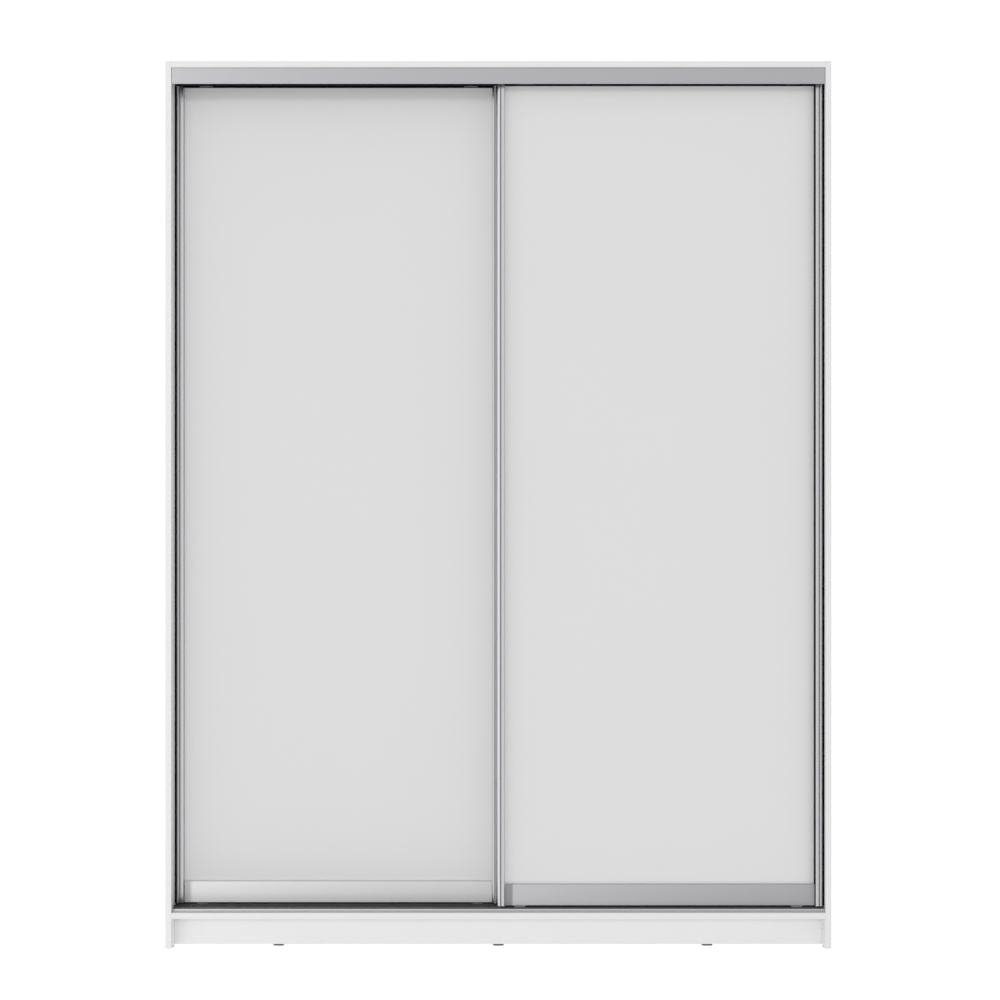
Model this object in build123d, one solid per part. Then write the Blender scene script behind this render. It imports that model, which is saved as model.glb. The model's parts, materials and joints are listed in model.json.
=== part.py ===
"""Two-door sliding wardrobe: laminated board carcass, aluminium tracks and framed doors on rollers.

Millimetres. X runs to the viewer's right, Y from front to back, Z up. The floor is Z = 0, the middle of
the width is X = 0 and the middle of the depth is Y = 0.
"""

import os

from build123d import *

# carcass
WIDTH = 1800.0
DEPTH = 600.0
BOARD = 16.0
BACK_THICK = 3.0
GLIDE_THICK = 4.5
SIDE_HEIGHT = 2400.0
PLINTH_HEIGHT = 81.0
PLINTH_SETBACK = 56.0
PLINTH_REAR_GAP = 24.0
TOP_DROP = 1.0
BACK_MARGIN = 2.0
ARRIS_R = 1.0
CROSS_RAIL_DROP = 6.0

FRONT = -DEPTH / 2
REAR = DEPTH / 2 - BACK_THICK
OUTER = WIDTH / 2
INNER = OUTER - BOARD
SIDE_Z0 = GLIDE_THICK
SIDE_Z1 = SIDE_Z0 + SIDE_HEIGHT
BOTTOM_Z0 = SIDE_Z0 + PLINTH_HEIGHT
BOTTOM_Z1 = BOTTOM_Z0 + BOARD
TOP_Z1 = SIDE_Z1 - TOP_DROP
TOP_Z0 = TOP_Z1 - BOARD

# interior
PARTITION_SETBACK = 108.0
PARTITION_Y0 = FRONT + PARTITION_SETBACK
PARTITION_HALF = BOARD / 2
SHELF_GAP = 0.5
SHELF_Y0 = PARTITION_Y0 + 4.0
SHELF_Y1 = REAR - 1.0
LEFT_FIXED_SHELF_Z = 1192.0
HAT_SHELF_Z = 2000.0
LEFT_LOOSE_SHELVES_Z = (448.0, 800.0, 1568.0, 1920.0)
RIGHT_LOOSE_SHELF_Z = 416.0
ROD_DROP = 46.0
ROD_WIDE = 15.0
ROD_TALL = 30.0
ROD_WALL = 1.2
ROD_Y = 50.0
SOCKET_THICK = 5.0
SOCKET_WALL = 2.5

# hardware of the carcass
HOLE_PLAY = 0.1
SCREW_SHANK_R = 3.3
SCREW_HEAD_R = 4.8
SCREW_HEAD = 4.0
SCREW_LENGTH = 46.0
CAP_R = 6.5
CAP_THICK = 1.0
PIN_R = 2.5
PIN_SUNK = 8.0
PIN_OUT = 8.0
SPARE_HOLE = 7.0
PIN_ROW = 32.0
PIN_HOLES_EACH_WAY = 2
PIN_INSET = 60.0
NAIL_R = 1.2
NAIL_LENGTH = 20.0
NAIL_STEP = 230.0
GLIDE_LONG = 30.0
GLIDE_WIDE = 15.0
GLIDE_TIP_R = 4.0
GLIDE_CORNER = 7.4

# doors, measured back from the nose of the handle profile
DOOR_Z0 = 115.5
HANDLE_Z1 = 2347.5
FRONT_DOOR_NOSE = FRONT + 18.5
TRACK_PITCH = 42.0
REAR_DOOR_NOSE = FRONT_DOOR_NOSE + TRACK_PITCH
OUTER_LIP_X = 860.7
MEETING_LIP_X = 16.2
ROLLER_OUTER_X = 811.5
ROLLER_INNER_X = 58.0
GUIDE_OUTER_X = 800.0
GUIDE_INNER_X = 75.0
CENTRE_LINE = 25.0

# handle profile: U runs outwards from the inner lip, V back from the nose
HANDLE_WALL = 1.5
FACET = 9.0
GROOVE = 2.0
GROOVE_DEEP = 3.0
GROOVE_EDGE = 0.6
NOSE_MID = 15.0
NOSE_END = 20.4
NOSE_FALL = 3.4
WEB_U = 12.4
WEB_V0 = 1.0
SLOT_V0 = 19.7
SLOT_V1 = 30.3
HANDLE_DEEP = 38.0
ARM_OUTER = 22.0
ARM_MEETING = 23.3
LIP_FOLD = 2.2
BRUSH_OUT_WALL = 1.2
BRUSH_OUT_MEETING = 4.1

# door panel
PANEL_THICK = 10.0
PANEL_IN_SLOT = 10.5
PANEL_Z0 = 160.0
PANEL_Z1 = 2345.5

# bottom rail of a door
RAIL_V0 = 14.0
RAIL_V1 = 37.5
RAIL_Z1 = 172.0
RAIL_WALL = 1.5
RAIL_BEAD = 2.7
RAIL_BEAD_OUT = 0.8
RAIL_WEB_Z = 157.5
RAIL_END_GAP = 1.4
PORT_V = 33.6
PORT_HALF = 3.6
PORT_R = 2.0
FRAME_SCREW_R = 1.9
FRAME_HEAD_R = 2.8
FRAME_HEAD = 2.2
FRAME_SCREW_REACH = 24.0
ADJUST_R = 2.5
ADJUST_Z = 145.5

# top rail of a door
TOP_RAIL_Z0 = PANEL_Z1 + 0.2
TOP_RAIL_Z1 = TOP_RAIL_Z0 + 2.0
TOP_FLANGE_Z0 = 2313.0
TOP_PORT_Z = 2330.0

# rollers
WHEEL_R = 17.0
WHEEL_HALF = 3.5
WHEEL_LIFT = 0.3
AXLE_R = 3.0
BORE_R = 3.05
GUIDE_R = 15.0
GUIDE_THICK = 7.0
GUIDE_Z0 = 2362.0
GUIDE_BASE_HALF_X = 18.0
GUIDE_BASE_HALF_Y = 9.0
GUIDE_POST_R = 6.0
WHEEL_CHAMFER = 0.8
DISH_DEEP = 0.7
DISH_OUTER_R = 14.0
DISH_INNER_R = 7.0
RIVET_R = 4.2
RIVET_THICK = 0.9
GUIDE_NUT_R = 5.0
SKIRT_TOP_HALF = 18.5
SKIRT_LOW_HALF = 10.0
SKIRT_Z0 = 105.5
CHEEK_IN = 4.5
CHEEK_OUT = 6.0
HOUSING_HALF = 30.0
CHEEK_TOP_Z = 141.0
CHEEK_STEP = 3.0
BRIDGE_Z0 = 139.0
BRIDGE_FRONT = 8.5
BRIDGE_BACK = 1.0
LOW_BRIDGE_Z1 = 148.0

# bottom track
TRACK_BASE = 2.0
TRACK_TALL = 8.0
TRACK_FRONT = 14.0
TRACK_REAR = 103.0
RIB_IN = 7.5
RIB_OUT = 9.5
TRACK_LIP = 2.0
STOP_LONG = 52.0
STOP_TALL = 8.5
STOP_PLAY = 0.3
STOP_R = 3.0

# top track
FASCIA_FRONT = 1.5
FASCIA_Z0 = 2342.3
FASCIA_THICK = 2.0
FASCIA_STEP = 4.5
FASCIA_STEP_IN = 1.2
FASCIA_FOOT = 10.0
FASCIA_FOOT_THICK = 1.5
BEAD_R = 1.35
ROOF_THICK = 2.0
FLANGE_Z0 = 2349.5
CHANNEL_HALF = 15.5
FLANGE_THICK = 2.0
END_GAP = 1.2

FRONT_LINE = FRONT_DOOR_NOSE + CENTRE_LINE
REAR_LINE = REAR_DOOR_NOSE + CENTRE_LINE
TRACK_Z0 = BOTTOM_Z1
WHEEL_Z = TRACK_Z0 + TRACK_BASE + WHEEL_LIFT + WHEEL_R


def block(x0, x1, y0, y1, z0, z1):
    """A rectangular solid between two corners."""
    middle = Pos((x0 + x1) / 2, (y0 + y1) / 2, (z0 + z1) / 2)
    return middle * Box(x1 - x0, y1 - y0, z1 - z0)


def bar_x(x0, x1, y, z, radius):
    """A round bar along X."""
    return Pos((x0 + x1) / 2, y, z) * Rot(0, 90, 0) * Cylinder(radius, abs(x1 - x0))


def bar_y(x, y0, y1, z, radius):
    """A round bar along Y."""
    return Pos(x, (y0 + y1) / 2, z) * Rot(90, 0, 0) * Cylinder(radius, abs(y1 - y0))


def bar_z(x, y, z0, z1, radius):
    """A round bar along Z."""
    return Pos(x, y, (z0 + z1) / 2) * Cylinder(radius, abs(z1 - z0))


def strip(a0, a1, b0, b1):
    """A rectangle of a section, between two corners."""
    return Pos((a0 + a1) / 2, (b0 + b1) / 2) * Rectangle(a1 - a0, b1 - b0)


def along_x(section, x0, x1):
    """A section drawn in Y and Z, drawn out along X."""
    return Pos(x0, 0, 0) * extrude(Plane.YZ * section, amount=x1 - x0)


def eased(board):
    """A board with the long edges of its front edge band rounded."""
    edges = board.faces().sort_by(Axis.Y)[0].edges()
    long_side = max(edge.length for edge in edges)
    return fillet([edge for edge in edges if edge.length > long_side / 2], ARRIS_R)


def meets(a, b):
    """Whether the boxes of two solids meet."""
    p = a.bounding_box()
    q = b.bounding_box()
    apart = (
        p.min.X > q.max.X or q.min.X > p.max.X
        or p.min.Y > q.max.Y or q.min.Y > p.max.Y
        or p.min.Z > q.max.Z or q.min.Z > p.max.Z
    )
    return not apart


def drilled(part, tools):
    """The part with every hole that reaches it."""
    near = [tool for tool in tools if meets(part, tool)]
    return part - near if near else part


def group(solids):
    """Separate solids kept together in one node."""
    return Compound(children=[s for one in solids for s in one.solids()])


# ---------------------------------------------------------------- fasteners of the carcass
def screw_x(face_x, inward, y, z, play=0.0):
    """A cabinet screw along X, its head one cap thickness under the face."""
    head = face_x + inward * CAP_THICK
    neck = head + inward * SCREW_HEAD
    tip = neck + inward * (SCREW_LENGTH - SCREW_HEAD)
    head_bar = bar_x(min(head, neck), max(head, neck), y, z, SCREW_HEAD_R + play)
    shank = bar_x(min(neck, tip), max(neck, tip) + play, y, z, SCREW_SHANK_R + play)
    return head_bar + shank


def cap_x(face_x, inward, y, z, play=0.0):
    """The cap that covers a screw head along X."""
    deep = face_x + inward * CAP_THICK
    return bar_x(min(face_x, deep), max(face_x, deep), y, z, CAP_R + play)


def screw_z(face_z, inward, x, y, play=0.0):
    """A cabinet screw along Z, its head one cap thickness under the face."""
    head = face_z + inward * CAP_THICK
    neck = head + inward * SCREW_HEAD
    tip = neck + inward * (SCREW_LENGTH - SCREW_HEAD)
    head_bar = bar_z(x, y, min(head, neck), max(head, neck), SCREW_HEAD_R + play)
    shank = bar_z(x, y, min(neck, tip), max(neck, tip), SCREW_SHANK_R + play)
    return head_bar + shank


def cap_z(face_z, inward, x, y, play=0.0):
    """The cap that covers a screw head along Z."""
    deep = face_z + inward * CAP_THICK
    return bar_z(x, y, min(face_z, deep), max(face_z, deep), CAP_R + play)


BOARD_SCREWS_Y = (-150.0, 40.0, 230.0)
PARTITION_SCREWS_Y = (-120.0, 60.0, 240.0)
PLINTH_Y = FRONT + PLINTH_SETBACK + BOARD / 2
PLINTH_REAR_Y = REAR - PLINTH_REAR_GAP - BOARD / 2
PLINTH_MID_Z = SIDE_Z0 + PLINTH_HEIGHT / 2

outer_screws = []
for side in (-1, 1):
    shelf_z = LEFT_FIXED_SHELF_Z if side < 0 else HAT_SHELF_Z
    for z in (BOTTOM_Z0 + BOARD / 2, shelf_z + BOARD / 2, TOP_Z0 + BOARD / 2):
        for y in BOARD_SCREWS_Y:
            outer_screws.append((side * OUTER, -side, y, z))
    for y in (PLINTH_Y, PLINTH_REAR_Y):
        outer_screws.append((side * OUTER, -side, y, PLINTH_MID_Z))
    # the same shelf is held at its other end from the far face of the partition
    for y in BOARD_SCREWS_Y:
        outer_screws.append((-side * PARTITION_HALF, side, y, shelf_z + BOARD / 2))

partition_screws = []
for y in PARTITION_SCREWS_Y:
    partition_screws.append((TOP_Z1, -1, 0.0, y))
    partition_screws.append((BOTTOM_Z0, 1, 0.0, y))

screws = [screw_x(*one) for one in outer_screws] + [screw_z(*one) for one in partition_screws]
caps = [cap_x(*one) for one in outer_screws] + [cap_z(*one) for one in partition_screws if one[1] < 0]
screw_holes = [screw_x(*one, HOLE_PLAY) for one in outer_screws]
screw_holes += [screw_z(*one, HOLE_PLAY) for one in partition_screws]
cap_holes = [cap_x(*one, HOLE_PLAY) for one in outer_screws]
cap_holes += [cap_z(*one, HOLE_PLAY) for one in partition_screws]
board_holes = screw_holes + cap_holes

# shelf pins, and the short rows of spare holes around each of them
PIN_ROWS_Y = (SHELF_Y0 + PIN_INSET, SHELF_Y1 - PIN_INSET)
pins = []
pin_holes = []
loose = [(-1, z) for z in LEFT_LOOSE_SHELVES_Z] + [(1, RIGHT_LOOSE_SHELF_Z)]
for side, shelf_z in loose:
    for y in PIN_ROWS_Y:
        for wall_x, into in ((side * INNER, side), (side * PARTITION_HALF, -side)):
            pin_z = shelf_z - PIN_R - HOLE_PLAY
            sunk = wall_x + into * PIN_SUNK
            out = wall_x - into * PIN_OUT
            pins.append(bar_x(min(sunk, out), max(sunk, out), y, pin_z, PIN_R))
            for step in range(-PIN_HOLES_EACH_WAY, PIN_HOLES_EACH_WAY + 1):
                hole_z = pin_z + step * PIN_ROW
                deep = sunk if step == 0 else wall_x + into * SPARE_HOLE
                pin_holes.append(
                    bar_x(min(wall_x, deep), max(wall_x, deep), y, hole_z, PIN_R + HOLE_PLAY)
                )


def spread(low, high, step):
    """Even places between two ends, about one step apart."""
    count = max(1, round((high - low) / step))
    return [low + (high - low) * i / count for i in range(count + 1)]


# nails through the back panels into every board edge behind them
nail_places = []
for side in (-1, 1):
    for z in spread(SIDE_Z0 + 40.0, SIDE_Z1 - 40.0, NAIL_STEP):
        nail_places.append((side * (INNER + BOARD / 2), z))
        nail_places.append((side * PARTITION_HALF / 2, max(z, BOTTOM_Z1 + 20.0)))
    for x in spread(60.0, INNER - 60.0, NAIL_STEP):
        nail_places.append((side * x, BOTTOM_Z0 + BOARD / 2))
        nail_places.append((side * x, TOP_Z0 + BOARD / 2))
nails = [bar_y(x, DEPTH / 2 - NAIL_LENGTH, DEPTH / 2, z, NAIL_R) for x, z in nail_places]
nail_holes = [
    bar_y(x, DEPTH / 2 - NAIL_LENGTH, DEPTH / 2, z, NAIL_R + HOLE_PLAY / 2) for x, z in nail_places
]

# ---------------------------------------------------------------- carcass boards
nodes = {}
rod_z = HAT_SHELF_Z - ROD_DROP
socket_screw_z = (rod_z + ROD_TALL / 2 + 9.0, rod_z - ROD_TALL / 2 - 9.0)
SOCKET_SCREW_R = 1.9
SOCKET_SCREW_LONG = 12.0
socket_screws = []
socket_holes = []
for wall_x, into in ((INNER, 1), (PARTITION_HALF, -1)):
    for z in socket_screw_z:
        face = wall_x - into * SOCKET_THICK
        tip = face + into * SOCKET_SCREW_LONG
        seat = face + into * 2.0
        head = bar_x(min(face, seat), max(face, seat), ROD_Y, z, SOCKET_SCREW_R * 2)
        socket_screws.append(head + bar_x(min(face, tip), max(face, tip), ROD_Y, z, SOCKET_SCREW_R))
        wide = bar_x(min(face, seat), max(face, seat), ROD_Y, z, SOCKET_SCREW_R * 2 + HOLE_PLAY)
        thin = bar_x(min(face, tip), max(face, tip), ROD_Y, z, SOCKET_SCREW_R + HOLE_PLAY)
        socket_holes.append(wide + thin)

all_holes = board_holes + pin_holes + nail_holes + socket_holes

for side, name in ((-1, "side_panel_left"), (1, "side_panel_right")):
    x0 = min(side * INNER, side * OUTER)
    board = eased(block(x0, x0 + BOARD, FRONT, REAR, SIDE_Z0, SIDE_Z1))
    nodes[name] = drilled(board, all_holes)
nodes["top_panel"] = eased(block(-INNER, INNER, FRONT, REAR, TOP_Z0, TOP_Z1))
nodes["bottom_panel"] = eased(block(-INNER, INNER, FRONT, REAR, BOTTOM_Z0, BOTTOM_Z1))
plinth_y0 = FRONT + PLINTH_SETBACK
nodes["plinth_front"] = block(-INNER, INNER, plinth_y0, plinth_y0 + BOARD, SIDE_Z0, BOTTOM_Z0)
rear_y0 = REAR - PLINTH_REAR_GAP - BOARD
nodes["plinth_rear"] = block(-INNER, INNER, rear_y0, rear_y0 + BOARD, SIDE_Z0, BOTTOM_Z0)
cross = []
for x in (-INNER / 2, 0.0, INNER / 2):
    # the middle one stops short of the screw heads under the partition
    cross_z1 = BOTTOM_Z0 - (CROSS_RAIL_DROP if x == 0 else 0.0)
    cross.append(block(x - BOARD / 2, x + BOARD / 2, plinth_y0 + BOARD, rear_y0, SIDE_Z0, cross_z1))
nodes["plinth_cross_rails"] = group(cross)
nodes["centre_partition"] = block(
    -PARTITION_HALF, PARTITION_HALF, PARTITION_Y0, REAR, BOTTOM_Z1, TOP_Z0
)
for side, name in ((-1, "back_panel_left"), (1, "back_panel_right")):
    x0 = min(side * 0.5, side * (OUTER - BACK_MARGIN))
    x1 = max(side * 0.5, side * (OUTER - BACK_MARGIN))
    nodes[name] = block(x0, x1, REAR, DEPTH / 2, SIDE_Z0 + BACK_MARGIN, TOP_Z1 - BACK_MARGIN)

left_x0, left_x1 = -INNER, -PARTITION_HALF
right_x0, right_x1 = PARTITION_HALF, INNER
nodes["fixed_shelf_left"] = block(
    left_x0, left_x1, SHELF_Y0, SHELF_Y1, LEFT_FIXED_SHELF_Z, LEFT_FIXED_SHELF_Z + BOARD
)
nodes["hat_shelf_right"] = block(right_x0, right_x1, SHELF_Y0, SHELF_Y1, HAT_SHELF_Z, HAT_SHELF_Z + BOARD)
for name in (
    "top_panel", "bottom_panel", "plinth_front", "plinth_rear", "centre_partition",
    "back_panel_left", "back_panel_right", "fixed_shelf_left", "hat_shelf_right",
):
    nodes[name] = drilled(nodes[name], all_holes)

shelves = [
    block(left_x0 + SHELF_GAP, left_x1 - SHELF_GAP, SHELF_Y0, SHELF_Y1, z, z + BOARD)
    for z in LEFT_LOOSE_SHELVES_Z
]
nodes["loose_shelves_left"] = group(shelves)
nodes["loose_shelf_right"] = block(
    right_x0 + SHELF_GAP, right_x1 - SHELF_GAP, SHELF_Y0, SHELF_Y1,
    RIGHT_LOOSE_SHELF_Z, RIGHT_LOOSE_SHELF_Z + BOARD,
)

# ---------------------------------------------------------------- hanging rod and its sockets
rod_outer = Pos(ROD_Y, rod_z) * SlotOverall(ROD_TALL, ROD_WIDE, rotation=90)
rod_inner = Pos(ROD_Y, rod_z) * SlotOverall(
    ROD_TALL - 2 * ROD_WALL, ROD_WIDE - 2 * ROD_WALL, rotation=90
)
rod_x0 = PARTITION_HALF + 1.5
rod_x1 = INNER - 1.5
nodes["hanging_rod"] = along_x(rod_outer - rod_inner, rod_x0, rod_x1)
socket_hole = SlotOverall(ROD_TALL + 0.4, ROD_WIDE + 0.4, rotation=90)
socket_outer = SlotOverall(
    ROD_TALL + 0.4 + 2 * SOCKET_WALL, ROD_WIDE + 0.4 + 2 * SOCKET_WALL, rotation=90
)
socket_plate = RectangleRounded(24.0, ROD_TALL + 38.0, 4.0)
sockets = []
for wall_x, into in ((INNER, 1), (PARTITION_HALF, -1)):
    face = wall_x - into * SOCKET_THICK
    lip = wall_x - into * SOCKET_THICK * 2.2
    bed = wall_x - into * 1.3
    plate = along_x(Pos(ROD_Y, rod_z) * socket_plate, min(face, wall_x), max(face, wall_x))
    collar = along_x(Pos(ROD_Y, rod_z) * socket_outer, min(lip, wall_x), max(lip, wall_x))
    hole = along_x(Pos(ROD_Y, rod_z) * socket_hole, min(lip, bed), max(lip, bed))
    sockets.append(drilled(plate + collar - hole, socket_holes))
nodes["rod_sockets"] = group(sockets)
nodes["rod_socket_screws"] = group(socket_screws)

# ---------------------------------------------------------------- bottom track, screws and stops
front_d = FRONT + TRACK_FRONT
rear_d = FRONT + TRACK_REAR
z0 = TRACK_Z0
z_base = z0 + TRACK_BASE
z_rib = z0 + TRACK_TALL
# one extrusion, kept as a base and ribs that meet face to face, so that its channels stay open
track_x1 = INNER - 0.5
track_ribs = [(front_d, front_d + TRACK_LIP), (rear_d - TRACK_LIP, rear_d)]
for line in (FRONT_LINE, REAR_LINE):
    for sign in (-1, 1):
        rib0 = line + sign * RIB_IN
        rib1 = line + sign * RIB_OUT
        track_ribs.append((min(rib0, rib1), max(rib0, rib1)))
track_ribs = [along_x(strip(y0, y1, z_base, z_rib), -track_x1, track_x1) for y0, y1 in track_ribs]
track_screw_x = (-780.0, -390.0, 0.0, 390.0, 780.0)
TRACK_SCREW_R = 1.75
TRACK_HEAD_R = 3.5
TRACK_HEAD = 1.6
TRACK_SCREW_LONG = 13.0
mid_line = (FRONT_LINE + REAR_LINE) / 2
track_base = along_x(strip(front_d, rear_d, z0, z_base), -track_x1, track_x1)
bottom_track_screws = []
low_holes = []
for x in track_screw_x:
    top = z_base + 0.6
    bottom_track_screws.append(
        bar_z(x, mid_line, top - TRACK_HEAD, top, TRACK_HEAD_R)
        + bar_z(x, mid_line, top - TRACK_SCREW_LONG, top, TRACK_SCREW_R)
    )
    low_holes.append(
        bar_z(x, mid_line, top - TRACK_HEAD, top + 1.0, TRACK_HEAD_R + HOLE_PLAY)
        + bar_z(x, mid_line, top - TRACK_SCREW_LONG, top, TRACK_SCREW_R + HOLE_PLAY)
    )
nodes["bottom_track"] = group([drilled(track_base, low_holes)] + track_ribs)
nodes["bottom_panel"] = drilled(nodes["bottom_panel"], low_holes)
nodes["bottom_track_screws"] = group(bottom_track_screws)

stops = []
for line in (FRONT_LINE, REAR_LINE):
    for side in (-1, 1):
        x0 = side * (INNER - 0.6)
        x1 = side * (INNER - STOP_LONG)
        y0 = line - RIB_IN + STOP_PLAY
        y1 = line + RIB_IN - STOP_PLAY
        body = block(min(x0, x1), max(x0, x1), y0, y1, z_base, z_base + STOP_TALL)
        face = body.faces().sort_by(Axis.X)[0 if side > 0 else -1]
        stops.append(fillet(face.edges().group_by(Axis.Z)[-1], STOP_R))
nodes["door_stops"] = group(stops)

# ---------------------------------------------------------------- top track with its fascia
fascia_y0 = FRONT + FASCIA_FRONT
roof_z0 = TOP_Z0 - ROOF_THICK
step_y0 = fascia_y0 + FASCIA_STEP_IN
step_y1 = step_y0 + FASCIA_THICK
fascia = strip(fascia_y0, fascia_y0 + FASCIA_THICK, FASCIA_Z0 + BEAD_R, TOP_Z0 - FASCIA_STEP)
fascia += strip(step_y0, step_y1, TOP_Z0 - FASCIA_STEP - FASCIA_THICK, TOP_Z0)
fascia += strip(step_y0, step_y1 + FASCIA_FOOT, roof_z0 - FASCIA_FOOT_THICK, roof_z0)
fascia += Pos(fascia_y0 + BEAD_R - 0.65, FASCIA_Z0 + BEAD_R) * Circle(BEAD_R)
nodes["top_fascia"] = along_x(fascia, -INNER + END_GAP, INNER - END_GAP)
# the roof and flanges of one extrusion, kept as bars that meet face to face, as in the bottom track
roof = along_x(strip(step_y1, rear_d, roof_z0, TOP_Z0), -INNER + END_GAP, INNER - END_GAP)
flanges = []
for line in (FRONT_LINE, REAR_LINE):
    for sign in (-1, 1):
        f0 = line + sign * CHANNEL_HALF
        f1 = line + sign * (CHANNEL_HALF + FLANGE_THICK)
        flange = strip(min(f0, f1), max(f0, f1), FLANGE_Z0, roof_z0)
        flanges.append(along_x(flange, -INNER + END_GAP, INNER - END_GAP))
top_track_screws = []
high_holes = []
for x in track_screw_x:
    for line in (FRONT_LINE, REAR_LINE):
        top_track_screws.append(
            bar_z(x, line, roof_z0 - TRACK_HEAD, roof_z0, TRACK_HEAD_R)
            + bar_z(x, line, roof_z0, roof_z0 + TRACK_SCREW_LONG, TRACK_SCREW_R)
        )
        hole_z1 = roof_z0 + TRACK_SCREW_LONG
        high_holes.append(bar_z(x, line, roof_z0 - 1.0, hole_z1, TRACK_SCREW_R + HOLE_PLAY))
nodes["top_track"] = group([drilled(roof, high_holes)] + flanges)
nodes["top_panel"] = drilled(nodes["top_panel"], high_holes)
nodes["top_track_screws"] = group(top_track_screws)

# ---------------------------------------------------------------- floor glides
glide_places = [(x, PLINTH_Y) for x in (-600.0, 0.0, 570.0)]
glide_places += [(x, PLINTH_REAR_Y) for x in (-600.0, 0.0, 570.0)]
for side in (-1, 1):
    for y in (-255.0, 250.0):
        glide_places.append((side * (OUTER - BOARD / 2), y))
glides = []
glide_holes = []
for x, y in glide_places:
    long_x = abs(x) < INNER
    size_x = GLIDE_LONG if long_x else GLIDE_WIDE
    size_y = GLIDE_WIDE if long_x else GLIDE_LONG
    pad = Pos(x, y, 0) * extrude(RectangleRounded(size_x, size_y, GLIDE_CORNER), amount=GLIDE_THICK)
    pad = chamfer(pad.edges().group_by(Axis.Z)[0], 1.0)
    nail = size_x / 4 if long_x else 0.0
    nail_y = 0.0 if long_x else size_y / 4
    for sign in (-1, 1):
        px = x + sign * nail
        py = y + sign * nail_y
        pad += bar_z(px, py, GLIDE_THICK, GLIDE_THICK + 15.0, NAIL_R)
        glide_holes.append(bar_z(px, py, GLIDE_THICK, GLIDE_THICK + 15.0, NAIL_R + HOLE_PLAY))
    glides.append(pad)
nodes["floor_glides"] = group(glides)
for name in ("plinth_front", "plinth_rear", "side_panel_left", "side_panel_right"):
    nodes[name] = drilled(nodes[name], glide_holes)

nodes["cabinet_screws"] = group(screws)
nodes["screw_caps"] = group(caps)
nodes["shelf_pins"] = group(pins)
nodes["back_nails"] = group(nails)


# ---------------------------------------------------------------- doors
def handle_section(arm):
    """Section of a handle profile: facet, groove and rounded nose, finger recess, panel slot and rear arm."""
    w = HANDLE_WALL
    facet_end = FACET
    face = strip(0, facet_end, 0, w)
    face += strip(facet_end - 0.2, facet_end + GROOVE + 0.2, GROOVE_DEEP, GROOVE_DEEP + w)
    face += strip(facet_end - w, facet_end, 0, GROOVE_DEEP + w)
    face += strip(facet_end + GROOVE, facet_end + GROOVE + w, GROOVE_EDGE, GROOVE_DEEP + w)
    start = (facet_end + GROOVE, GROOVE_EDGE)
    mid = (NOSE_MID, 0.0)
    end = (NOSE_END, NOSE_FALL)
    back_end = (NOSE_END - 0.5, NOSE_FALL + w)
    back_mid = (NOSE_MID, w)
    back_start = (facet_end + GROOVE, GROOVE_EDGE + w)
    edges = [
        ThreePointArc(start, mid, end),
        Line(end, back_end),
        ThreePointArc(back_end, back_mid, back_start),
        Line(back_start, start),
    ]
    face += make_face(Wire(edges))
    face += strip(0, w, 0, SLOT_V0)
    face += strip(0, WEB_U, SLOT_V0 - w, SLOT_V0)
    face += strip(0, WEB_U, SLOT_V1, SLOT_V1 + w)
    face += strip(WEB_U, WEB_U + w, WEB_V0, HANDLE_DEEP)
    face += strip(WEB_U, arm, HANDLE_DEEP - w, HANDLE_DEEP)
    face += strip(arm - w, arm, HANDLE_DEEP - LIP_FOLD - w, HANDLE_DEEP)
    return face


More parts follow.
